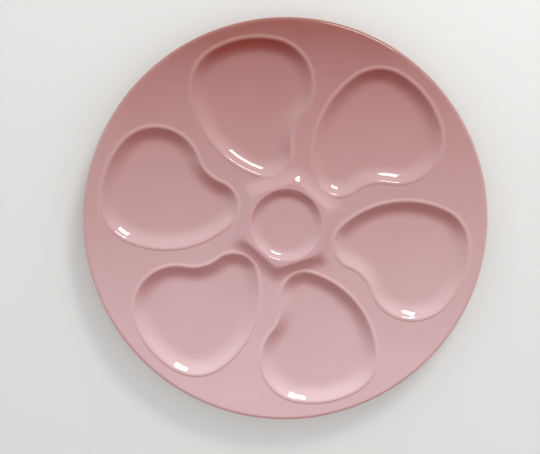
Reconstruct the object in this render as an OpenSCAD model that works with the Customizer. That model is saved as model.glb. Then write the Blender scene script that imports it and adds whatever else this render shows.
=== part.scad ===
// Round oyster plate: a ring of comma-shaped wells with raised lips round a
// sauce well in a raised boss, on a turned body with a rolled rim and a foot ring.
// The fired clay body carries a thin coat of glaze that stops at the bare foot.
// The plate lies face up, its foot ring on Z = 0 and its axis on Z.

/* [Plate] */
// Diameter of the clay body over the rim
plate_d = 253.2; // [246:0.4:262]
// Thickness of the fired clay under the wells
wall = 5.5; // [4.5:0.25:6.5]
// Thickness of the coat of glaze
glaze_t = 0.4; // [0.3:0.05:0.6]
// Rise of the rim above the lips of the wells
rim_rise = 0.3; // [0:0.1:1]
// Radius of the rounded edge of the rim
rim_r = 2.4; // [2:0.1:2.8]
// Radius of the hollow where the face turns up into the rim
rim_hollow_r = 24; // [18:1:30]
// Depth of the web below the lips, at the axis
web_drop = 3; // [2.5:0.25:3.5]
// Radius of the shallow dish that the web follows
dish_r = 3000; // [2800:50:3400]

/* [Oyster wells] */
// Number of wells round the plate
well_count = 6; // [4:1:6]
// Turn of the first well from the +X direction
first_turn = -9; // [-30:1:30]
// Depth of a well below its lip
well_depth = 6.5; // [6:0.25:7]
// Radius of the crest of a lip
lip_r = 0.6; // [0.5:0.05:0.8]
// Distance from the outline of a well to the crest of its lip
crest_in = 0.8; // [0.5:0.1:1.2]
// Slope of the outer flank of a lip from the level
flank_a = 50; // [45:1:60]
// Lean of the wall of a well from upright
wall_a = 42; // [40:1:44]
// Radius of the cove between the wall and the floor of a well
cove_r = 15.5; // [14.5:0.25:16]

/* [Well outline] */
// Radius of the lobe that lies next to the boss
inner_r = 16.4; // [15.8:0.1:18]
// Turn of the inner lobe from the axis of the well
inner_turn = -6; // [-8:0.5:-3]
// Radius of the lobe on the axis of the well, next to the rim, as a share of the plate's diameter
outer_share = 0.1062; // [0.099:0.0002:0.1124]
// Radius of the lobe beyond the notch, as a share of the plate's diameter
side_share = 0.1118; // [0.1068:0.0002:0.1146]
// Turn of the side lobe from the axis of the well
side_turn = -13.5; // [-15:0.5:-12]
// Radius of the long curve on the back of the comma
back_r = 60; // [54:1:70]
// Radius of the curve along the rim
brow_r = 57; // [50:1:70]
// Radius of the hollow curve in the notch
notch_r = 24; // [20:1:28]
// Width of the land between the outer lobe and the rim
outer_land = 9.4; // [8.5:0.1:12]
// Width of the land between the side lobe and the rim
side_land = 11; // [10:0.1:14]
// Width of the valley between the boss and the inner lobe
valley_w = 6.3; // [5.5:0.1:7]

/* [Boss and sauce well] */
// Diameter of the sauce well inside its edge
sauce_d = 44.6; // [40:0.2:48]
// Depth of the sauce well below the top of the boss
sauce_depth = 6; // [5:0.25:6.5]
// Lean of the wall of the sauce well from upright
sauce_wall_a = 42; // [36:1:46]
// Radius of the cove between the wall and the floor of the sauce well
sauce_cove_r = 9; // [7:0.25:10]
// Radius of the edge of the sauce well
sauce_edge_r = 0.8; // [0.6:0.1:1.2]
// Height of the boss above the lips of the wells
boss_rise = 0.8; // [0.3:0.1:1.2]
// Width of the flat top of the boss at the middle of a side
boss_land = 2.2; // [1.8:0.1:3]
// Slope of the sides of the boss from the level
boss_a = 45; // [40:1:55]
// Radius of the top edge of the boss
boss_edge_r = 1.5; // [1:0.1:1.8]
// Depth by which the corners of the boss are rounded off
boss_corner = 0.8; // [0.5:0.1:1.2]
// Turn of the sides of the boss from the axes of the wells
boss_turn = -3; // [-6:1:0]

/* [Foot] */
// Diameter of the foot ring at the middle of its sole
foot_d = 150; // [130:1:170]
// Width of the bare sole of the foot ring
foot_w = 5; // [4:0.5:7]
// Clear height under the wells
foot_drop = 6; // [4.5:0.25:7]
// Lean of the sides of the foot ring from upright
foot_a = 12; // [8:1:16]
// Height of the glaze line above the sole
glaze_line = 1.5; // [1:0.25:2]
// Slope of the underside behind the rim
rim_under_a = 42; // [38:1:48]

/* [Hidden] */
$fn = 96;

// Levels up from the sole of the foot
floor_z = foot_drop + wall;
lip_z = floor_z + well_depth;
web_z = lip_z - web_drop;
rim_z = lip_z + rim_rise - rim_r;
boss_z = lip_z + boss_rise;
sauce_floor_z = boss_z - sauce_depth;

// Spare length of the blocks that the faces are cut from
over = 5;
top_z = boss_z + over;
// Sink of one form into the next, so that they join as one body
sink = 1.5;
// Step by which the curves between two lobes lie inside the lobes at their ends
seam = 0.06;
// Depth by which a straight side starts inside the round that it runs into
tuck = 0.01;

// Turned face: centres of the dish, the rolled rim and the hollow between them
dish_at = [0, web_z + dish_r];
rim_at = [plate_d / 2 - rim_r, rim_z];
hollow_at = meet(rim_at, rim_r + rim_hollow_r, dish_at, dish_r - rim_hollow_r, 1);

// Turned sauce well: centres of its edge and its cove
sauce_edge_at = [sauce_d / 2 + sauce_edge_r, boss_z - sauce_edge_r];
sauce_wall_h = sauce_depth - sauce_edge_r - sauce_cove_r;
sauce_cove_at = [
    sauce_edge_at[0] - (sauce_edge_r + sauce_cove_r) / cos(sauce_wall_a)
        - sauce_wall_h * tan(sauce_wall_a),
    sauce_floor_z + sauce_cove_r
];
boss_flat = sauce_d / 2 + boss_land;
boss_edge_s = boss_flat - boss_edge_r * tan(boss_a / 2);
// Drum that the sauce well is turned in, and the bore of the boss round it
drum_r = (sauce_edge_at[0] + boss_edge_s) / 2;
boss_bore_r = (sauce_edge_at[0] + drum_r) / 2;

// Section of a well, drawn inwards from its outline: centres of its lip and cove
crest_at = [crest_in, lip_z - lip_r];
cove_at = [
    crest_in + (lip_r + cove_r) / cos(wall_a) + (well_depth - lip_r - cove_r) * tan(wall_a),
    floor_z + cove_r
];
wall_out = [-cos(wall_a), -sin(wall_a)];

// Lobes of a well that grow with the plate, and the centres of all three
outer_r = outer_share * plate_d;
side_r = side_share * plate_d;
inner_at = polar(boss_flat + valley_w + inner_r, inner_turn);
outer_at = polar(plate_d / 2 - outer_land - outer_r, 0);
side_at = polar(plate_d / 2 - side_land - side_r, side_turn);

// Centres of the curves that join the lobes
notch_at = meet(inner_at, inner_r + notch_r, side_at, side_r + notch_r, -1);
brow_at = meet(side_at, brow_r - side_r, outer_at, brow_r - outer_r, 1);
back_at = meet(outer_at, back_r - outer_r, inner_at, back_r - inner_r, 1);

// Outline of a well as arcs: centre, radius, first and last direction, 1 where
// the well lies inside the arc or -1 outside, and 1 for a lobe or 0 for a join
outline = [
    [inner_at, inner_r, heading(back_at, inner_at), heading(inner_at, notch_at), 1, 1],
    [notch_at, notch_r, heading(notch_at, side_at), heading(notch_at, inner_at), -1, 0],
    [side_at, side_r, heading(side_at, notch_at), heading(brow_at, side_at), 1, 1],
    [brow_at, brow_r, heading(brow_at, side_at), heading(brow_at, outer_at), 1, 0],
    [outer_at, outer_r, heading(brow_at, outer_at), heading(back_at, outer_at), 1, 1],
    [back_at, back_r, heading(back_at, outer_at), heading(back_at, inner_at), 1, 0]
];

function polar(r, a) = [r * cos(a), r * sin(a)];
function heading(from, to) = atan2(to[1] - from[1], to[0] - from[0]);

// Counter-clockwise turn from direction a to direction b
function turn(a, b) = (b - a + 720) % 360;

// Angle that a length takes up on a circle
function lap_angle(length, r) = length / r * 180 / PI;

// Point at distances ra and rb from a and b, on the left of a to b for side 1
function meet(a, ra, b, rb, side) =
    let (d = norm(b - a), u = (b - a) / d)
    let (along = (ra * ra - rb * rb + d * d) / (2 * d))
    a + u * along + side * [-u[1], u[0]] * sqrt(ra * ra - along * along);

// Points along an arc from direction a, counter-clockwise for a positive sweep
function arc_points(at, r, a, sweep, n) = [
    for (i = [0 : n]) at + polar(r, a + sweep * i / n)
];

// Points along the outline of a well, moved inwards, each chord turning by up to step
function inset_points(by, step) = [
    for (arc = outline)
        let (sweep = turn(arc[2], arc[3]), n = ceil(sweep / step))
        let (points = arc_points(arc[0], arc[1] - arc[4] * by, arc[2], sweep, n))
        for (i = [0 : n - 1]) points[arc[4] > 0 ? i : n - i]
];

// Repeats a well round the plate
module each_well() {
    for (i = [0 : well_count - 1])
        rotate([0, 0, first_turn + i * 360 / well_count]) children();
}

// Carries a section round the outline of a well, its X pointing into the well.
// A join runs on into the lobes at its ends, and lies a step inside them there.
module along_outline() {
    for (arc = outline) {
        lap = arc[5] > 0 ? 0 : lap_angle(sink / 3, arc[1]);
        $step = arc[5] > 0 ? 0 : seam;
        translate(arc[0])
            rotate([0, 0, arc[2] - lap])
            rotate_extrude(angle = turn(arc[2], arc[3]) + 2 * lap)
            translate([arc[1], 0])
            mirror([arc[4] > 0 ? 1 : 0, 0])
            children();
    }
}

// Section of a lip with its flank, crest, wall and cove, moved out by t
module lip_section(t) {
    out = t - $step;
    flank_top = crest_at + (lip_r + out - tuck) * [-sin(flank_a), cos(flank_a)];
    foot_z = web_z - sink;
    foot_s = flank_top[0] - (flank_top[1] - foot_z) / tan(flank_a);
    base_z = floor_z - wall / 3 + 10 * $step;
    end_s = cove_at[0] + sink - 10 * $step;
    difference() {
        union() {
            polygon([
                flank_top,
                [foot_s, foot_z],
                [foot_s, base_z],
                [end_s, base_z],
                [end_s, floor_z + out - seam],
                [cove_at[0], floor_z + out - seam],
                cove_at + (cove_r - out + seam - tuck) * wall_out,
                crest_at - (lip_r + out - tuck) * wall_out
            ]);
            translate(crest_at) circle(r = lip_r + out);
        }
        translate(cove_at) circle(r = cove_r - out + seam);
    }
}

// Section of the glaze from the flank of a lip to the end of the cove, a step thinner in the joins
module lip_coat_section() {
    difference() {
        lip_section(glaze_t);
        lip_section(2 * $step);
        translate([-plate_d, -over])
            square([plate_d + crest_in, over + web_z - sink / 2 + 10 * $step]);
        translate([cove_at[0] - $step, 0])
            square([plate_d, lip_z]);
    }
}

// Upright prism inside the outline of a well, between two levels
module well_prism(inset, low, high, step = 24) {
    translate([0, 0, low]) linear_extrude(high - low) polygon(inset_points(inset, step));
}

// Points of the underside, moved out by t, from the axis to the rim
function back_points(t) =
    let (slope_foot = rim_at + (rim_r + t) * [sin(rim_under_a), -cos(rim_under_a)])
    let (back_z = foot_drop - t)
    [
        [0, back_z],
        [slope_foot[0] - (slope_foot[1] - back_z) / tan(rim_under_a), back_z],
        slope_foot
    ];

// Half of the rolled rim, above its widest line for side 1 or below it for -1
module rim_half(t, side) {
    intersection() {
        translate(rim_at) circle(r = rim_r + t);
        translate([0, rim_z - (side > 0 ? 0 : over)]) square([plate_d, over]);
    }
}

// Half section of the turned body under a face that is moved up by t
module face_section(t) {
    rim_a = heading(rim_at, hollow_at);
    dish_a = heading(dish_at, hollow_at);
    hollow = arc_points(hollow_at, rim_hollow_r - t, rim_a + 180, 180 - turn(dish_a, rim_a), 4);
    difference() {
        polygon(concat(back_points(0), [rim_at], hollow, [[0, hollow[4][1]]]));
        translate(dish_at) circle(r = dish_r - t, $fn = 1440);
        translate([0, foot_drop]) square([drum_r - (drum_r - boss_bore_r) / 2, top_z]);
    }
    rim_half(t, 1);
    sauce_section(t);
}

// Half section of the sauce well and the drum that it is turned in
module sauce_section(t) {
    edge = [-cos(sauce_wall_a), sin(sauce_wall_a)];
    difference() {
        union() {
            polygon([
                [0, foot_drop],
                [drum_r, foot_drop],
                [drum_r, boss_z + t],
                [sauce_edge_at[0], boss_z + t],
                sauce_edge_at + (sauce_edge_r + t) * edge,
                sauce_cove_at - (sauce_cove_r - t) * edge,
                [sauce_cove_at[0], sauce_floor_z + t],
                [0, sauce_floor_z + t]
            ]);
            translate(sauce_edge_at) circle(r = sauce_edge_r + t);
        }
        translate(sauce_cove_at) circle(r = sauce_cove_r - t);
    }
}

// Half section of the foot ring, its sides moved out by t
module foot_section(t) {
    foot_z = foot_drop + wall / 2;
    half = foot_w / 2 + t / cos(foot_a);
    spread = foot_z * tan(foot_a);
    translate([foot_d / 2, 0])
        polygon([[-half, 0], [half, 0], [half + spread, foot_z], [-half - spread, foot_z]]);
}

// Half section of everything above the back, moved out by t
module back_section(t) {
    polygon(concat(back_points(t), [rim_at, [0, rim_z]]));
    rim_half(t, -1);
    foot_section(t);
}

// Points down the outside of the boss, X out from the axis, from its top edge
function boss_points(t, flat) =
    let (edge_at = [flat - boss_edge_r * tan(boss_a / 2), boss_z - boss_edge_r])
    let (edge = arc_points(edge_at, boss_edge_r + t, 90, -boss_a, 4))
    let (down = boss_rise + web_drop + sink)
    concat(edge, [edge[4] + down * [1 / tan(boss_a), -1]]);

// Raised boss with one side to each well and rounded corners
module boss(t) {
    corner = boss_flat / cos(180 / well_count) - boss_corner;
    side = boss_points(t, boss_flat);
    foot = side[len(side) - 1];
    far = 2 * corner;
    difference() {
        rotate_extrude()
            polygon(concat(
                [[boss_bore_r, boss_z + t]],
                boss_points(t, corner),
                [[boss_bore_r, foot[1]]]
            ));
        for (i = [0 : well_count - 1])
            rotate([0, 0, first_turn + boss_turn + i * 360 / well_count])
            rotate([90, 0, 0])
            linear_extrude(2 * far, center = true)
            polygon(concat(
                [side[0] + over * (side[0] - side[1])],
                [for (k = [1 : len(side) - 1]) side[k]],
                [foot + over * (foot - side[len(side) - 2])],
                [[far + over, foot[1] - over], [far + over, top_z]]
            ));
    }
}

// Fired body of the plate
module clay_body() {
    color("antiquewhite") {
        difference() {
            rotate_extrude() {
                face_section(0);
                rim_half(0, -1);
                foot_section(0);
            }
            each_well() well_prism(0, floor_z, top_z);
        }
        each_well() along_outline() lip_section(0);
        boss(0);
    }
}

// Coat of glaze over the web, the boss, the sauce well and the top of the rim
module face_glaze() {
    color([0.85, 0.6, 0.57]) {
        difference() {
            rotate_extrude()
                difference() {
                    face_section(glaze_t);
                    face_section(0);
                }
            each_well() {
                well_prism(0, floor_z, top_z);
                along_outline() lip_section(glaze_t);
            }
            boss(glaze_t);
        }
        difference() {
            boss(glaze_t);
            boss(0);
            rotate_extrude() face_section(0);
        }
    }
}

// Coat of glaze over the lip, the wall and the floor of a well, down to the web outside it
module well_coat() {
    difference() {
        along_outline() lip_coat_section();
        difference() {
            rotate_extrude() face_section(0);
            well_prism(0, 0, top_z);
        }
    }
    well_prism(cove_at[0] + 2 * seam, floor_z, floor_z + glaze_t, 6);
}

// Coat of glaze in the oyster wells
module well_glaze() {
    color([0.85, 0.6, 0.57]) each_well() well_coat();
}

// Half section of the glaze on the back between two radii
module back_coat(inner, outer) {
    intersection() {
        difference() {
            back_section(glaze_t);
            back_section(0);
        }
        translate([inner, glaze_line]) square([outer - inner, rim_z - glaze_line]);
    }
}

// Coat of glaze from the rim down to the outside of the foot ring
module back_glaze() {
    color([0.85, 0.6, 0.57]) rotate_extrude() back_coat(foot_d / 2, plate_d);
}

// Coat of glaze inside the foot ring
module base_glaze() {
    color([0.85, 0.6, 0.57]) rotate_extrude() back_coat(0, foot_d / 2);
}

clay_body();
face_glaze();
well_glaze();
back_glaze();
base_glaze();
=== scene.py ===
"""Oyster plate: the coat of glaze and the bare clay of a round plate with comma-shaped wells.

Lengths are in metres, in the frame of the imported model: the plate lies face up on Z = 0,
its axis is Z, and every height is that of the glazed surface.
"""

import math

import bmesh
import bpy
import numpy as np
from bpy.props import FloatProperty, FloatVectorProperty, IntProperty, PointerProperty
from mathutils import Matrix, Vector


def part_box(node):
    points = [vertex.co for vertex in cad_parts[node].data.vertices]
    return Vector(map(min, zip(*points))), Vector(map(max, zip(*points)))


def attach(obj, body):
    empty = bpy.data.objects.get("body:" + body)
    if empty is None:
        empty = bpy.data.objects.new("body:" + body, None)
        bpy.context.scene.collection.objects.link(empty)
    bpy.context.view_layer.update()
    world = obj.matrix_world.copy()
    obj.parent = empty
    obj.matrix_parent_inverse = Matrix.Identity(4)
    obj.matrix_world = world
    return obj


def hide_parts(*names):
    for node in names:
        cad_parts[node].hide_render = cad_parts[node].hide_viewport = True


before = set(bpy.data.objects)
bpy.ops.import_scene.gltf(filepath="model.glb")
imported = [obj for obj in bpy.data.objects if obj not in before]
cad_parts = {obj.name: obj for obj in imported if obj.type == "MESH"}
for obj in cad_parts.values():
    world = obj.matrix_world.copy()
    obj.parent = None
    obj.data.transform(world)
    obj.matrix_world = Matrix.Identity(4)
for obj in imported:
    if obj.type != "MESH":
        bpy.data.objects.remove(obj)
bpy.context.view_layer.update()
FACE_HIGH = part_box("face_glaze")[1]
BASE_LOW, BASE_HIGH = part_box("base_glaze")

bl_info = {
    "name": "Oyster Plate",
    "version": (1, 0, 0),
    "blender": (4, 5, 0),
    "location": "View3D > Sidebar > Plate",
    "description": "Builds the glaze, the clay and the stage of an oyster plate",
    "category": "Add Mesh",
}

COAT_NODES = ("face_glaze", "well_glaze", "back_glaze", "base_glaze")
WELD_DISTANCE = 2e-6
SAME_HEIGHT = 1e-6

# Steps along the four sides of the loop round a well, and rings of the face from its middle out.
SEAM_STEPS, RIM_STEPS, BOSS_STEPS = 56, 64, 26
FLOOR_RINGS, WALL_RINGS, LAND_RINGS, SAUCE_RINGS = 6, 22, 24, 30

SENSOR_WIDTH = 36.0
FLOOR_HALF = 3.0
WHITE = (1.0, 1.0, 1.0)


def length(name, default, description):
    """Property that holds a length in metres."""
    return FloatProperty(name=name, description=description, default=default, unit="LENGTH", precision=5)


def angle(name, degrees, description):
    """Property that holds an angle, given in degrees."""
    return FloatProperty(
        name=name, description=description, default=math.radians(degrees), subtype="ANGLE"
    )


def share(name, default, description):
    """Property that holds a plain number."""
    return FloatProperty(name=name, description=description, default=default, precision=3)


def colour(name, default, description):
    """Property that holds a linear colour."""
    return FloatVectorProperty(
        name=name, description=description, default=default, size=3, subtype="COLOR", min=0.0, max=1.0
    )


class PlateShape(bpy.types.PropertyGroup):
    """Sizes of the glazed plate."""

    plate_radius: length("Plate radius", FACE_HIGH.x, "Radius of the plate over the rim")
    glaze: length("Glaze", 0.0004, "Thickness of the coat of glaze")
    rim_top: length("Rim top", FACE_HIGH.z - 0.0005, "Height of the top of the rim")
    rim_roll: length("Rim roll", 0.0028, "Radius of the rounded edge of the rim")
    rim_slope: angle("Rim slope", 42.0, "Slope of the underside behind the rim")
    dish: angle("Dish", 3.6, "Slope of the land where it meets the rim")
    lip_rise: length("Lip rise", 0.00032, "Height of the lips above the land")
    lip_spread: length("Lip spread", 0.0008, "Width over which a lip fades into the land")
    lip_fade: length("Lip fade", 0.004, "Width next to the rim in which the lips fade out")

    well_count: IntProperty(name="Wells", description="Number of wells round the plate", default=6)
    first_turn: angle("First turn", -9.0, "Turn of the first well from the +X direction")
    crest: length("Crest", 0.0005, "Distance from the outline of a well in to the crest of its lip")
    edge: length("Edge", 0.0015, "Width over which the edge of a well turns down")
    bowl: length("Bowl", 0.0115, "Width over which the wall of a well eases to its floor")
    wall: angle("Wall", 38.5, "Steepest slope of the wall of a well")

    inner_lobe: length("Inner lobe", 0.0164, "Radius of the lobe next to the boss")
    inner_turn: angle("Inner turn", -6.0, "Turn of the inner lobe from the axis of the well")
    outer_lobe: length("Outer lobe", 0.02689, "Radius of the lobe on the axis of the well")
    side_lobe: length("Side lobe", 0.02831, "Radius of the lobe beyond the notch")
    side_turn: angle("Side turn", -13.5, "Turn of the side lobe from the axis of the well")
    back_curve: length("Back curve", 0.060, "Radius of the long curve on the back of the comma")
    brow_curve: length("Brow curve", 0.057, "Radius of the curve along the rim")
    notch_curve: length("Notch curve", 0.024, "Radius of the hollow curve in the notch")
    outer_land: length("Outer land", 0.0098, "Width of the land between the outer lobe and the rim")
    side_land: length("Side land", 0.0114, "Width of the land between the side lobe and the rim")
    valley: length("Valley", 0.0063, "Width of the valley between the boss and the inner lobe")

    sauce_radius: length("Sauce well", 0.0223, "Radius of the sauce well inside its edge")
    sauce_brink: length("Sauce brink", 0.0006, "Distance from the sauce well out to where its edge begins")
    sauce_edge: length("Sauce edge", 0.0009, "Width over which the edge of the sauce well turns down")
    sauce_bowl: length("Sauce bowl", 0.0080, "Width over which its wall eases to its floor")
    sauce_wall: angle("Sauce wall", 46.0, "Steepest slope of the wall of the sauce well")
    boss_top: length("Boss top", FACE_HIGH.z - 0.0006, "Height of the top of the boss")
    boss_land: length("Boss land", 0.0022, "Width of the top of the boss at the middle of a side")
    boss_slope: angle("Boss slope", 45.0, "Slope of the sides of the boss")
    boss_turn: angle("Boss turn", -3.0, "Turn of the sides of the boss from the axes of the wells")
    boss_blend: length("Boss blend", 0.0010, "Softness of the top edge of the boss")
    valley_blend: length("Valley blend", 0.0066, "Softness of the foot of the boss")
    corner_blend: length("Corner blend", 0.0032, "Softness of the corners of the boss")

    foot_radius: length("Foot radius", 0.075, "Radius of the foot ring at the middle of its sole")
    foot_width: length("Foot width", 0.005, "Width of the bare sole of the foot ring")
    foot_lean: angle("Foot lean", 12.0, "Lean of the sides of the foot ring")
    glaze_line: length("Glaze line", BASE_LOW.z, "Height of the lower edge of the glaze")
    back_height: length("Back height", BASE_HIGH.z - 0.0004, "Height of the glazed underside")
    belly: length("Belly", 0.012, "Radius of the bend between the rim's underside and the level back")


class GlazeLook(bpy.types.PropertyGroup):
    """Colours of the glaze and of the clay."""

    # The pink and the warm pink paint a gradient: the front is paled by a painted reflection, and the
    # darker, warmer back is painted shade.
    pink: colour("Pink", (0.543, 0.280, 0.294), "Body colour of the glaze towards the front")
    back_shade_pink: colour("Warm pink", (0.232, 0.024, 0.008), "Body colour of the glaze towards the back")
    # Deep pink: the darker clouds of the glaze, and the painted shade in the bowls of the wells.
    cloud_and_bowl_shade: colour("Deep pink", (0.40, 0.17, 0.14), "Colour where the glaze pools")
    thin: colour("Thin glaze", (0.66, 0.45, 0.34), "Colour where the glaze runs thin over an edge")
    speck: colour("Speck", (0.10, 0.06, 0.045), "Colour of the fired specks")
    clay: colour("Clay", (0.60, 0.47, 0.35), "Colour of the bare fired clay")
    clay_dark: colour("Dark clay", (0.38, 0.27, 0.19), "Colour of the coarse grains in the clay")
    gloss: share("Gloss roughness", 0.05, "Roughness of the glaze")


class StageLook(bpy.types.PropertyGroup):
    """Camera and lights."""

    focal: share("Focal length", 41.17, "Focal length of the camera in millimetres")
    camera_at: FloatVectorProperty(
        name="Camera", description="Place of the camera", default=(-0.01565, 0.0384, 0.4021), subtype="XYZ"
    )
    camera_to: FloatVectorProperty(
        name="Target", description="Point that the camera looks at", default=(-0.0102, -0.00105, 0.0189),
        subtype="XYZ",
    )
    floor: colour("Floor", (0.72, 0.715, 0.70), "Colour of the floor")
    window_at: FloatVectorProperty(
        name="Window", description="Place of the soft lamp", default=(0.31, 0.66, 0.52), subtype="XYZ"
    )
    window_size: FloatVectorProperty(
        name="Window size", description="Width and height of the soft lamp", default=(0.29, 0.18), size=2
    )
    window_power: share("Window power", 3.2, "Power of the soft lamp in watts")
    even: share("Even light", 0.81, "Strength of the room on matt surfaces and to the camera")
    ground: share("Ground", 0.1, "Strength of the mirrored room at the ground")
    horizon: share("Horizon", 2.65, "Growth of the mirrored room from the ground to the horizon")
    ceiling: share("Ceiling", 1.3, "Growth of the mirrored room from the horizon to the ceiling")
    left_dim: share("Left", 0.1, "Loss of the mirrored room towards its left side")
    mirror_tint: FloatVectorProperty(
        name="Mirror tint", description="Tint of the mirrored room", default=(0.92, 1.0, 1.02), size=3
    )


def polar(radius, turn):
    """Points at a radius and an angle from the axis, in the plane of the plate."""
    return np.stack(np.broadcast_arrays(radius * np.cos(turn), radius * np.sin(turn)), axis=-1)


def heading(start, end):
    """Direction from one point to another, as an angle."""
    return math.atan2(end[1] - start[1], end[0] - start[0])


def meet(a, ra, b, rb, side):
    """Point at distances ra and rb from a and b, on the left of the line a to b for side 1."""
    gap = np.linalg.norm(b - a)
    along = (ra * ra - rb * rb + gap * gap) / (2 * gap)
    unit = (b - a) / gap
    across = np.array([-unit[1], unit[0]])
    return a + unit * along + side * across * math.sqrt(ra * ra - along * along)


def smooth_max(a, b, blend):
    """The larger of two heights, with the crease between them filled over a depth of blend."""
    near = np.maximum(blend - np.abs(a - b), 0.0) / blend
    return np.maximum(a, b) + near * near * blend / 4


class WellOutline:
    """Closed chain of six arcs that meet tangentially: three lobes and the curves between them."""

    def __init__(self, shape):
        boss_flat = shape.sauce_radius + shape.boss_land
        inner = polar(boss_flat + shape.valley + shape.inner_lobe, shape.inner_turn)
        outer = polar(shape.plate_radius - shape.outer_land - shape.outer_lobe, 0.0)
        side = polar(shape.plate_radius - shape.side_land - shape.side_lobe, shape.side_turn)
        inner_r, outer_r, side_r = shape.inner_lobe, shape.outer_lobe, shape.side_lobe
        back_r, brow_r, notch_r = shape.back_curve, shape.brow_curve, shape.notch_curve
        notch = meet(inner, inner_r + notch_r, side, side_r + notch_r, -1)
        brow = meet(side, brow_r - side_r, outer, brow_r - outer_r, 1)
        back = meet(outer, back_r - outer_r, inner, back_r - inner_r, 1)
        first = np.array([
            heading(back, inner), heading(notch, side), heading(side, notch),
            heading(brow, side), heading(brow, outer), heading(back, outer),
        ])
        last = np.array([
            heading(inner, notch), heading(notch, inner), heading(brow, side),
            heading(brow, outer), heading(back, outer), heading(back, inner),
        ])
        self.centre = np.array([inner, notch, side, brow, outer, back])
        self.radius = np.array([inner_r, notch_r, side_r, brow_r, outer_r, back_r])
        self.side = np.array([1.0, -1.0, 1.0, 1.0, 1.0, 1.0])
        self.first = first
        self.sweep = (last - first) % math.tau
        self.middle = (side + outer) / 2 * 0.92

    def nearest(self, points):
        """Depth inside the outline, nearest point on it and outward normal there.

        The nearest arc is the one whose circle is closest among those whose sector holds the point.
        """
        away = points[..., None, :] - self.centre
        distance = np.linalg.norm(away, axis=-1)
        bearing = np.arctan2(away[..., 1], away[..., 0])
        held = (bearing - self.first) % math.tau <= self.sweep + 1e-9
        gap = np.where(held, np.abs(distance - self.radius), np.inf)
        pick = np.argmin(gap, axis=-1)[..., None]
        distance = np.take_along_axis(distance, pick, axis=-1)
        unit = np.take_along_axis(away, pick[..., None], axis=-2)[..., 0, :] / distance
        side = self.side[pick]
        inside = (side * (self.radius[pick] - distance))[..., 0]
        return inside, self.centre[pick[..., 0]] + self.radius[pick] * unit, side * unit


def turned(points, turn):
    """Points of the plane turned about the axis."""
    cos, sin = np.cos(turn), np.sin(turn)
    x, y = points[..., 0], points[..., 1]
    return np.stack([x * cos - y * sin, x * sin + y * cos], axis=-1)


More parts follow.
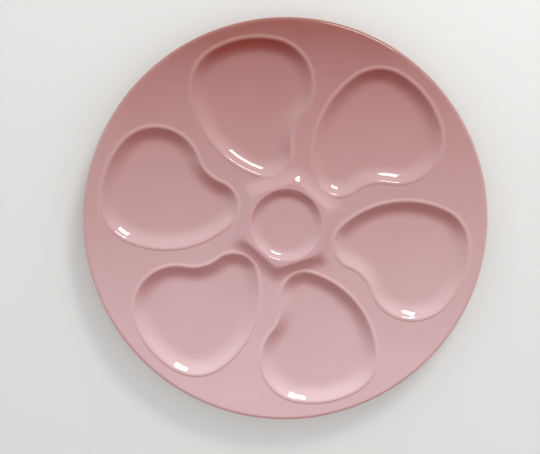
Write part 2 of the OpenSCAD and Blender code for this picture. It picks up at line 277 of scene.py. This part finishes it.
class PlateFace:
    """Height of the glazed face over the plane, and the turned profiles round it."""

    def __init__(self, shape):
        self.shape = shape
        self.outline = WellOutline(shape)
        self.pitch = math.tau / shape.well_count
        self.boss_flat = shape.sauce_radius + shape.boss_land
        self.boss_start = shape.sauce_radius + shape.sauce_brink
        self.rim_at = np.array([shape.plate_radius - shape.rim_roll, shape.rim_top - shape.rim_roll])
        self.rim_lift = math.pi / 2 + shape.dish
        self.rim_start, self.land_end = self.rim_at + shape.rim_roll * polar(1.0, self.rim_lift)

    def fall(self, inside, edge, bowl, steepest):
        """Drop of a well at a distance inside its crest.

        The slope grows as the square of the distance to its steepest over the edge, then eases to
        level along a half wave over the bowl. The drop is the sum of the slope's tangent.
        """
        at = np.linspace(0.0, edge + bowl, 600)
        over = np.clip(at / edge, 0.0, 1.0)
        eased = np.clip((at - edge) / bowl, 0.0, 1.0)
        slope = steepest * over ** 2 * (0.5 + 0.5 * np.cos(math.pi * eased))
        drop = np.cumsum(np.tan(slope)) * at[1]
        return np.interp(inside, at, drop - drop[0])

    def web_height(self, radius):
        """Height of the land: a shallow dish, square in the radius, that runs into the rim's roll."""
        spread = (self.rim_start ** 2 - radius ** 2) / (2 * self.rim_start)
        return self.land_end - math.tan(self.shape.dish) * spread

    def boss_height(self, points):
        """Height of the boss: a level top, and sides that slope away from six soft-cornered flats."""
        shape = self.shape
        turns = shape.first_turn + shape.boss_turn + self.pitch * np.arange(shape.well_count)
        reach = np.sort(points @ polar(1.0, turns).T, axis=-1)
        out = smooth_max(reach[..., -1], reach[..., -2], shape.corner_blend)
        side = shape.boss_top - (out - self.boss_flat) * math.tan(shape.boss_slope)
        return -smooth_max(-side, np.full_like(side, -shape.boss_top), shape.boss_blend)

    def depths(self, points):
        """Depth inside the outline of the nearest well and of the wells on both sides of it."""
        first = self.shape.first_turn
        bearing = np.arctan2(points[..., 1], points[..., 0]) - first
        own = np.round(bearing / self.pitch) * self.pitch + first
        near = [self.outline.nearest(turned(points, -own - step * self.pitch))[0] for step in (-1, 0, 1)]
        return np.sort(np.stack(near, axis=-1), axis=-1)

    def height(self, points):
        """Height of the face: land, lips and boss, less the drops of the wells and of the sauce well.

        A lip is a low swell of the land that fades away from the crest round its well and at the rim.
        """
        shape = self.shape
        depth = self.depths(points)[..., 1:]
        radius = np.linalg.norm(points, axis=-1)
        away = np.maximum(shape.crest - depth, 0.0) / shape.lip_spread
        swell = 1.0 - np.prod(1.0 - np.exp(-(away ** 2)), axis=-1)
        swell = swell * np.clip((self.rim_start - radius) / shape.lip_fade, 0.0, 1.0)
        land = self.web_height(radius) + shape.lip_rise * swell
        land = smooth_max(land, self.boss_height(points), shape.valley_blend)
        well = self.fall(depth[..., -1] - shape.crest, shape.edge, shape.bowl, shape.wall)
        inside = shape.sauce_radius + shape.sauce_brink - radius
        return land - well - self.fall(inside, shape.sauce_edge, shape.sauce_bowl, shape.sauce_wall)

    def seam_turn(self, radius):
        """Angle from a well's axis at which two neighbouring wells are equally far, by halving."""
        low = np.full_like(radius, math.radians(8.0))
        high = np.full_like(radius, math.radians(50.0))
        for _ in range(48):
            middle = (low + high) / 2
            points = polar(radius, middle)
            own = self.outline.nearest(points)[0]
            other = self.outline.nearest(turned(points, -self.pitch))[0]
            nearer = own > other
            low = np.where(nearer, middle, low)
            high = np.where(nearer, high, middle)
        return (low + high) / 2

    def sector_loop(self):
        """Closed loop round one well: up one seam, along the rim, down the other, along the boss."""
        radius = np.linspace(self.boss_start, self.rim_start, SEAM_STEPS + 1)
        seam = self.seam_turn(radius)
        up = polar(radius, seam - self.pitch)
        rim = polar(self.rim_start, np.linspace(seam[-1] - self.pitch, seam[-1], RIM_STEPS + 1))
        down = polar(radius, seam)[::-1]
        boss = polar(self.boss_start, np.linspace(seam[0], seam[0] - self.pitch, BOSS_STEPS + 1))
        return np.concatenate([up[:-1], rim[:-1], down[:-1], boss])

    def sector(self, loop):
        """Points of the face over one well.

        A ray runs from the middle of the floor to the foot of the wall, straight out across the wall
        and the lip, and on along the outline's normal to the loop. The rings lie close together at
        the lip: those of the land are even over a near width and spread out beyond it.
        """
        shape = self.shape
        near_width = 0.007
        depth, foot, normal = self.outline.nearest(loop)
        reach = shape.edge + shape.bowl + shape.crest
        inset = reach * np.linspace(1.0, 0.0, WALL_RINGS + 1) ** 1.8
        inner = foot[:, None] - normal[:, None] * inset[None, :, None]
        fan = np.linspace(0.0, 1.0, FLOOR_RINGS + 1)[None, :-1, None]
        floor = self.outline.middle + (inner[:, :1] - self.outline.middle) * fan
        step = np.linspace(0.0, 1.0, LAND_RINGS + 1)[1:]
        close = np.minimum(-depth, near_width)[:, None]
        out = close * step + (-depth[:, None] - close) * step ** 3
        outer = foot[:, None] + normal[:, None] * out[..., None]
        return np.concatenate([floor, inner, outer], axis=1)

    def back_profile(self):
        """Radius and height down from the rim over the back, the foot ring and the base to the axis."""
        shape = self.shape
        bearing = np.linspace(self.rim_lift, shape.rim_slope - math.pi / 2, 26)
        roll = self.rim_at + polar(shape.rim_roll, bearing)
        drop = roll[-1, 1] - shape.back_height
        corner = roll[-1, 0] - drop / math.tan(shape.rim_slope)
        bend = shape.belly * math.tan(shape.rim_slope / 2)
        belly_at = np.array([corner - bend, shape.back_height + shape.belly])
        belly = belly_at + polar(shape.belly, np.linspace(shape.rim_slope, 0.0, 8) - math.pi / 2)
        half = shape.foot_width / 2 + shape.glaze / math.cos(shape.foot_lean)
        spread = math.tan(shape.foot_lean)
        levels = np.array([shape.back_height, shape.glaze_line])
        outside = np.stack([shape.foot_radius + half + levels * spread, levels], axis=-1)
        inside = np.stack([shape.foot_radius - half - levels * spread, levels], axis=-1)[::-1]
        across = np.sin(np.linspace(math.pi / 2, -math.pi / 2, 14))[1:-1]
        under = shape.foot_radius + (half + shape.glaze_line * spread) * across
        sole = np.stack([under, np.full_like(under, shape.glaze_line)], axis=-1)
        level = np.linspace(belly[-1, 0], outside[0, 0], 6)[1:-1]
        flat = np.stack([level, np.full_like(level, shape.back_height)], axis=-1)
        rest = np.linspace(inside[-1, 0], 0.0, 6)[1:]
        base = np.stack([rest, np.full_like(rest, shape.back_height)], axis=-1)
        return np.concatenate([roll, belly, flat, outside, sole, inside, base])

    def sauce_disc(self, turns):
        """Grid of points of the sauce well inside the loops: rings that lie closer at the edge."""
        radius = self.boss_start * (1.0 - np.linspace(0.0, 1.0, SAUCE_RINGS + 1) ** 1.3)
        flat = polar(radius[None, :], turns[:, None])
        return np.concatenate([flat, self.height(flat)[..., None]], axis=-1)


class Skin:
    """Grids of points that are joined into one mesh."""

    def __init__(self):
        self.points = []
        self.quads = []
        self.count = 0

    def add(self, grid):
        """Adds a grid of points, with a quad between each two rows and two columns."""
        rows, columns = grid.shape[:2]
        index = self.count + np.arange(rows * columns).reshape(rows, columns)
        corners = [index[:-1, :-1], index[1:, :-1], index[1:, 1:], index[:-1, 1:]]
        self.quads.append(np.stack(corners, axis=-1).reshape(-1, 4))
        self.points.append(grid.reshape(-1, 3))
        self.count += rows * columns

    def mesh(self, name):
        """Mesh of all the grids, welded where their edges meet and with its faces outwards."""
        mesh = bpy.data.meshes.new(name)
        mesh.from_pydata(np.concatenate(self.points), [], np.concatenate(self.quads))
        body = bmesh.new()
        body.from_mesh(mesh)
        bmesh.ops.remove_doubles(body, verts=body.verts, dist=WELD_DISTANCE)
        bmesh.ops.recalc_face_normals(body, faces=body.faces)
        body.to_mesh(mesh)
        body.free()
        mesh.polygons.foreach_set("use_smooth", np.ones(len(mesh.polygons), dtype=bool))
        return mesh


def spun(profile, turns):
    """Grid of a profile of radius and height carried round the axis."""
    level = np.broadcast_to(profile[None, :, 1], (len(turns), len(profile)))
    return np.concatenate([polar(profile[None, :, 0], turns[:, None]), level[..., None]], axis=-1)


def vertex_points(mesh):
    """Places of all the vertices of a mesh."""
    points = np.empty(len(mesh.vertices) * 3)
    mesh.vertices.foreach_get("co", points)
    return points.reshape(-1, 3)


def write_attribute(mesh, name, values):
    """Stores one number for each vertex under a name that a material can read."""
    mesh.attributes.new(name, "FLOAT", "POINT").data.foreach_set("value", values.astype(np.float32))


class Wire:
    """A shader socket in an expression: an operator on it adds a Math node."""

    def __init__(self, nodes, socket):
        self.nodes = nodes
        self.socket = socket

    def maths(self, operation, first, second):
        """Adds a Math node on two numbers or wires."""
        return self.nodes.add("ShaderNodeMath", {"operation": operation}, {0: first, 1: second})

    def __add__(self, other):
        return self.maths("ADD", self, other)

    def __radd__(self, other):
        return self.maths("ADD", other, self)

    def __sub__(self, other):
        return self.maths("SUBTRACT", self, other)

    def __rsub__(self, other):
        return self.maths("SUBTRACT", other, self)

    def __mul__(self, other):
        return self.maths("MULTIPLY", self, other)

    def __rmul__(self, other):
        return self.maths("MULTIPLY", other, self)

    def __pow__(self, other):
        return self.maths("POWER", self, other)

    def __gt__(self, other):
        return self.maths("GREATER_THAN", self, other)


class Nodes:
    """Node tree of one material or of the world."""

    def __init__(self, owner):
        owner.use_nodes = True
        self.tree = owner.node_tree
        self.tree.nodes.clear()

    def add(self, kind, settings=None, inputs=None, output=0):
        """Adds a node, sets its settings, then its sockets, and returns one of its outputs."""
        node = self.tree.nodes.new(kind)
        for name, value in (settings or {}).items():
            setattr(node, name, value)
        for name, value in (inputs or {}).items():
            if isinstance(value, Wire):
                self.tree.links.new(value.socket, node.inputs[name])
            else:
                node.inputs[name].default_value = value
        return Wire(self, node.outputs[output]) if len(node.outputs) else None

    def mix(self, factor, first, second):
        """Mix of two colours."""
        return self.add(
            "ShaderNodeMix", {"data_type": "RGBA"}, {0: factor, 6: rgba(first), 7: rgba(second)}, output=2
        )

    def noise(self, place, scale, detail):
        """Soft noise from 0 to 1 at a scale per metre."""
        return self.add("ShaderNodeTexNoise", None, {"Vector": place, "Scale": scale, "Detail": detail})

    def spread(self, value, low, high):
        """Value stretched so that low gives 0 and high gives 1, with soft ends."""
        return self.add(
            "ShaderNodeMapRange", {"interpolation_type": "SMOOTHSTEP"},
            {"Value": value, "From Min": low, "From Max": high},
        )

    def cells(self, place, scale, output):
        """Cells at a scale per metre: output 0 is the distance from a cell's point, 1 its colour."""
        return self.add(
            "ShaderNodeTexVoronoi", {"feature": "F1"}, {"Vector": place, "Scale": scale}, output=output
        )


def rgba(value):
    """Colour with an alpha of 1, or a wire as it is."""
    return value if isinstance(value, Wire) else (*value, 1.0)


def glaze_material(look):
    """Glossy pink glaze: cloudy, with specks.

    Its colour is painted darker and warmer towards the back (+Y) as shade, and paler towards the front as
    a reflection; its coat is less glossy towards the back. It is paler where it runs thin over edges, and
    painted darker in the bowls of the wells as shade.
    """
    material = bpy.data.materials.new("pink_glaze")
    nodes = Nodes(material)
    place = nodes.add("ShaderNodeTexCoord", output=3)
    thin = nodes.add("ShaderNodeAttribute", {"attribute_name": "thin"}, output=2)
    bowl_shade = nodes.add("ShaderNodeAttribute", {"attribute_name": "bowl_shade"}, output=2)
    cloud = nodes.noise(place, 22.0, 3.0)
    grain = nodes.noise(place, 420.0, 2.0)
    along = nodes.add("ShaderNodeSeparateXYZ", None, {0: place}, output=1)
    back = nodes.add(
        "ShaderNodeMapRange", None, {"Value": along + 0.03 * cloud, "From Min": -0.10, "From Max": 0.135}
    )
    # Painted shade and reflection: the colour runs from the pink at the front, paled by painted
    # reflection, to the dark warm pink at the back, a painted shade.
    painted_gradient = nodes.mix(0.75 * back + 0.25 * back ** 8.0, look.pink, look.back_shade_pink)
    # Darker clouds of the glaze at random, and a painted shade in a band round the bowl of each well.
    body = nodes.mix(nodes.spread(cloud, 0.3, 0.7) * 0.12 + bowl_shade * 0.3, painted_gradient, look.cloud_and_bowl_shade)
    edged = nodes.mix(thin * (0.75 + 0.25 * grain), body, look.thin)
    cell = nodes.cells(place, 160.0, output=0)
    chance = nodes.add("ShaderNodeSeparateColor", None, {0: nodes.cells(place, 160.0, output=1)})
    speck = (1 - nodes.spread(cell, 0.03, 0.075)) * (chance > 0.9)
    base = nodes.mix(speck * 0.75, edged, look.speck)
    wear = nodes.spread(nodes.noise(place, 60.0, 4.0), 0.45, 0.75)
    ripple = nodes.noise(place, 260.0, 1.0)
    bump = nodes.add("ShaderNodeBump", None, {"Strength": 0.04, "Distance": 0.0002, "Height": ripple})
    shader = nodes.add("ShaderNodeBsdfPrincipled", None, {
        "Base Color": base,
        "Roughness": look.gloss + wear * 0.05 + speck * 0.3,
        "IOR": 1.5,
        "Specular IOR Level": 0.2,
        "Coat Weight": 1 - 0.8 * back,
        "Coat Roughness": 0.03,
        "Coat IOR": 1.75,
        "Normal": bump,
    })
    nodes.add("ShaderNodeOutputMaterial", None, {"Surface": shader})
    return material


def clay_material(look):
    """Bare fired clay: matt, with coarse dark grains and a dry, uneven face."""
    material = bpy.data.materials.new("bare_clay")
    nodes = Nodes(material)
    place = nodes.add("ShaderNodeTexCoord", output=3)
    cloud = nodes.noise(place, 90.0, 4.0)
    grain = nodes.noise(place, 1400.0, 2.0)
    cell = nodes.cells(place, 700.0, output=0)
    dust = nodes.mix(nodes.spread(cloud, 0.35, 0.7) * 0.4, look.clay, look.clay_dark)
    base = nodes.mix((1 - nodes.spread(cell, 0.1, 0.25)) * 0.6, dust, look.clay_dark)
    bump = nodes.add("ShaderNodeBump", None, {"Strength": 0.5, "Distance": 0.0003, "Height": grain})
    shader = nodes.add("ShaderNodeBsdfPrincipled", None, {
        "Base Color": base,
        "Roughness": 0.82 + 0.12 * grain,
        "Normal": bump,
    })
    nodes.add("ShaderNodeOutputMaterial", None, {"Surface": shader})
    return material


def plain_material(name, tint, rough):
    """Plain finish for the stage."""
    material = bpy.data.materials.new(name)
    nodes = Nodes(material)
    shader = nodes.add("ShaderNodeBsdfPrincipled", None, {"Base Color": rgba(tint), "Roughness": rough})
    nodes.add("ShaderNodeOutputMaterial", None, {"Surface": shader})
    return material


def show(mesh, name):
    """Object for a mesh, at the origin."""
    piece = bpy.data.objects.new(name, mesh)
    bpy.context.scene.collection.objects.link(piece)
    return piece


def mark_glaze(mesh, face):
    """Marks where the glaze runs thin, at the rim and the lips, and a painted shade round the bowls of the
    wells.

    Each mark is a bell curve of the distance from the line that it lies along.
    """
    shape = face.shape
    lip_width, rim_width = 0.0012, 0.0007
    bowl_shade_inset, bowl_shade_width = 0.009, 0.005
    back_margin = 0.004
    points = vertex_points(mesh)
    depth = face.depths(points[:, :2])[:, -1]
    out = np.linalg.norm(points[:, :2], axis=-1)
    upward = points[:, 2] > shape.back_height + back_margin
    lip = np.exp(-((depth / lip_width) ** 2)) * (out < face.rim_start) * upward
    rim = np.exp(-(((shape.plate_radius - out) / rim_width) ** 2))
    # Painted shade: a darker band round the bowl of each well.
    bowl_shade = np.exp(-(((depth - bowl_shade_inset) / bowl_shade_width) ** 2)) * upward
    write_attribute(mesh, "thin", np.maximum(rim, 0.15 * lip))
    write_attribute(mesh, "bowl_shade", 0.3 * bowl_shade)


class PLATE_OT_coat(bpy.types.Operator):
    """Models the coat of glaze: the face with its wells, the rim, the back and the base"""

    bl_idname = "plate.coat"
    bl_label = "Coat of glaze"

    def execute(self, context):
        shape = context.scene.plate_shape
        face = PlateFace(shape)
        flat = turned(face.sector(face.sector_loop()), shape.first_turn)
        level = face.height(flat)
        skin = Skin()
        for well in range(shape.well_count):
            skin.add(np.concatenate([turned(flat, well * face.pitch), level[..., None]], axis=-1))
        seam = face.seam_turn(np.array([face.boss_start, face.rim_start])) + shape.first_turn
        around_rim = seam[1] + np.linspace(0.0, math.tau, RIM_STEPS * shape.well_count + 1)
        around_boss = seam[0] + np.linspace(0.0, math.tau, BOSS_STEPS * shape.well_count + 1)
        skin.add(spun(face.back_profile(), around_rim))
        skin.add(face.sauce_disc(around_boss))
        mesh = skin.mesh("glaze_coat")
        mark_glaze(mesh, face)
        mesh.materials.append(glaze_material(context.scene.plate_glaze))
        piece = show(mesh, "glaze_coat")
        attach(piece, "root")
        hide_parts(*COAT_NODES)
        return {"FINISHED"}


class PLATE_OT_clay(bpy.types.Operator):
    """Models the fired clay under the glaze, which shows on the sole of the foot ring"""

    bl_idname = "plate.clay"
    bl_label = "Fired clay"

    def execute(self, context):
        shape = context.scene.plate_shape
        if "glaze_coat" not in bpy.data.objects:
            raise RuntimeError("The clay is made from the coat of glaze, which is not there yet")
        mesh = bpy.data.objects["glaze_coat"].data.copy()
        mesh.name = "fired_clay"
        points = vertex_points(mesh)
        normals = np.empty_like(points).ravel()
        mesh.vertex_normals.foreach_get("vector", normals)
        moved = points - shape.glaze * normals.reshape(-1, 3)
        moved = on_sole(shape, points, moved)
        mesh.vertices.foreach_set("co", moved.ravel())
        mesh.materials.clear()
        mesh.materials.append(clay_material(context.scene.plate_glaze))
        mesh.update()
        piece = show(mesh, "fired_clay")
        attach(piece, "root")
        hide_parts("clay_body")
        return {"FINISHED"}


def on_sole(shape, coat, clay):
    """Clay points with those of the sole put in their place.

    Between the two lower edges of the glaze the sole is flat on the ground, and its height grows to
    the glaze line along a steep power of the distance across.
    """
    radius = np.linalg.norm(coat[:, :2], axis=-1)
    coat_width = shape.glaze / math.cos(shape.foot_lean)
    half = shape.foot_width / 2 + coat_width + shape.glaze_line * math.tan(shape.foot_lean)
    across = (radius - shape.foot_radius) / half
    bare = (np.abs(coat[:, 2] - shape.glaze_line) < SAME_HEIGHT) & (np.abs(across) < 0.999)
    reach = shape.foot_radius + across * (half - coat_width)
    placed = coat.copy()
    placed[:, :2] *= (reach / np.maximum(radius, WELD_DISTANCE))[:, None]
    placed[:, 2] = shape.glaze_line * (1.0 - np.sqrt(1.0 - np.minimum(np.abs(across), 1.0) ** 8))
    return np.where(bare[:, None], placed, clay)


def aimed(place, target, up):
    """Matrix of a camera or lamp at a place, that looks at a target with a given side up."""
    back = (Vector(place) - Vector(target)).normalized()
    right = Vector(up).cross(back).normalized()
    matrix = Matrix((right, back.cross(right), back)).transposed().to_4x4()
    matrix.translation = place
    return matrix


def window_lamp(stage):
    """Rectangular soft lamp that faces the plate."""
    lamp = bpy.data.lights.new("window", "AREA")
    lamp.shape = "RECTANGLE"
    lamp.size, lamp.size_y = stage.window_size
    lamp.energy = stage.window_power
    holder = bpy.data.objects.new("window", lamp)
    holder.matrix_world = aimed(stage.window_at, (0.0, 0.0, 0.0), (0.0, 0.3, 1.0))
    bpy.context.scene.collection.objects.link(holder)


def studio_world(stage):
    """World of the studio.

    Matt surfaces get an even light and the camera sees a plain pale room. In mirror reflections the
    room is a little cooler, grows brighter along +Y from the ground to the ceiling, and is dimmer
    towards its left side.
    """
    world = bpy.data.worlds.new("studio")
    nodes = Nodes(world)
    way = nodes.add("ShaderNodeTexCoord", output=0)
    across = nodes.add("ShaderNodeSeparateXYZ", None, {0: way}, output=0)
    up = nodes.add("ShaderNodeSeparateXYZ", None, {0: way}, output=1)
    mirrored = nodes.add("ShaderNodeLightPath", output=3)
    left = 1 - nodes.spread(across, -0.95, -0.35)
    rise = stage.horizon * nodes.spread(up, -0.95, 0.0) + stage.ceiling * nodes.spread(up, -0.1, 0.8)
    room = stage.ground + rise - stage.left_dim * left
    shade = nodes.add("ShaderNodeBackground", None, {
        "Color": nodes.mix(mirrored, WHITE, stage.mirror_tint),
        "Strength": room * mirrored + stage.even * (1 - mirrored),
    })
    nodes.add("ShaderNodeOutputWorld", None, {"Surface": shade})
    return world


class PLATE_OT_stage(bpy.types.Operator):
    """Sets up the floor, the lights and the camera"""

    bl_idname = "plate.stage"
    bl_label = "Stage"

    def execute(self, context):
        scene = context.scene
        stage = scene.plate_stage
        corners = FLOOR_HALF * np.array([(-1, -1, 0), (1, -1, 0), (1, 1, 0), (-1, 1, 0)])
        mesh = bpy.data.meshes.new("floor")
        mesh.from_pydata(corners, [], [(0, 1, 2, 3)])
        mesh.materials.append(plain_material("pale_floor", stage.floor, 0.8))
        show(mesh, "floor")

        scene.world = studio_world(stage)
        window_lamp(stage)

        camera = bpy.data.cameras.new("camera")
        camera.sensor_width = SENSOR_WIDTH
        camera.lens = stage.focal
        camera.clip_start = 0.01
        holder = bpy.data.objects.new("camera", camera)
        holder.matrix_world = aimed(stage.camera_at, stage.camera_to, (0.0, 1.0, 0.0))
        scene.collection.objects.link(holder)
        scene.camera = holder
        scene.view_settings.view_transform = "Standard"
        return {"FINISHED"}


class PLATE_PT_panel(bpy.types.Panel):
    """Lists the steps that build the plate"""

    bl_idname = "PLATE_PT_panel"
    bl_label = "Oyster Plate"
    bl_space_type = "VIEW_3D"
    bl_region_type = "UI"
    bl_category = "Plate"

    def draw(self, context):
        for step in STEPS:
            self.layout.operator(step.bl_idname)


GROUPS = {"plate_shape": PlateShape, "plate_glaze": GlazeLook, "plate_stage": StageLook}
STEPS = (PLATE_OT_coat, PLATE_OT_clay, PLATE_OT_stage)
CLASSES = (*GROUPS.values(), *STEPS, PLATE_PT_panel)


def register():
    """Registers the add-on's classes and puts its settings on the scene."""
    for cls in CLASSES:
        bpy.utils.register_class(cls)
    for name, group in GROUPS.items():
        setattr(bpy.types.Scene, name, PointerProperty(type=group))


def unregister():
    """Takes the settings off the scene and unregisters the classes."""
    for name in GROUPS:
        delattr(bpy.types.Scene, name)
    for cls in reversed(CLASSES):
        bpy.utils.unregister_class(cls)


def main():
    """Builds the plate and its stage."""
    register()
    bpy.ops.plate.coat()
    bpy.ops.plate.clay()
    bpy.ops.plate.stage()


if __name__ == "__main__":
    main()
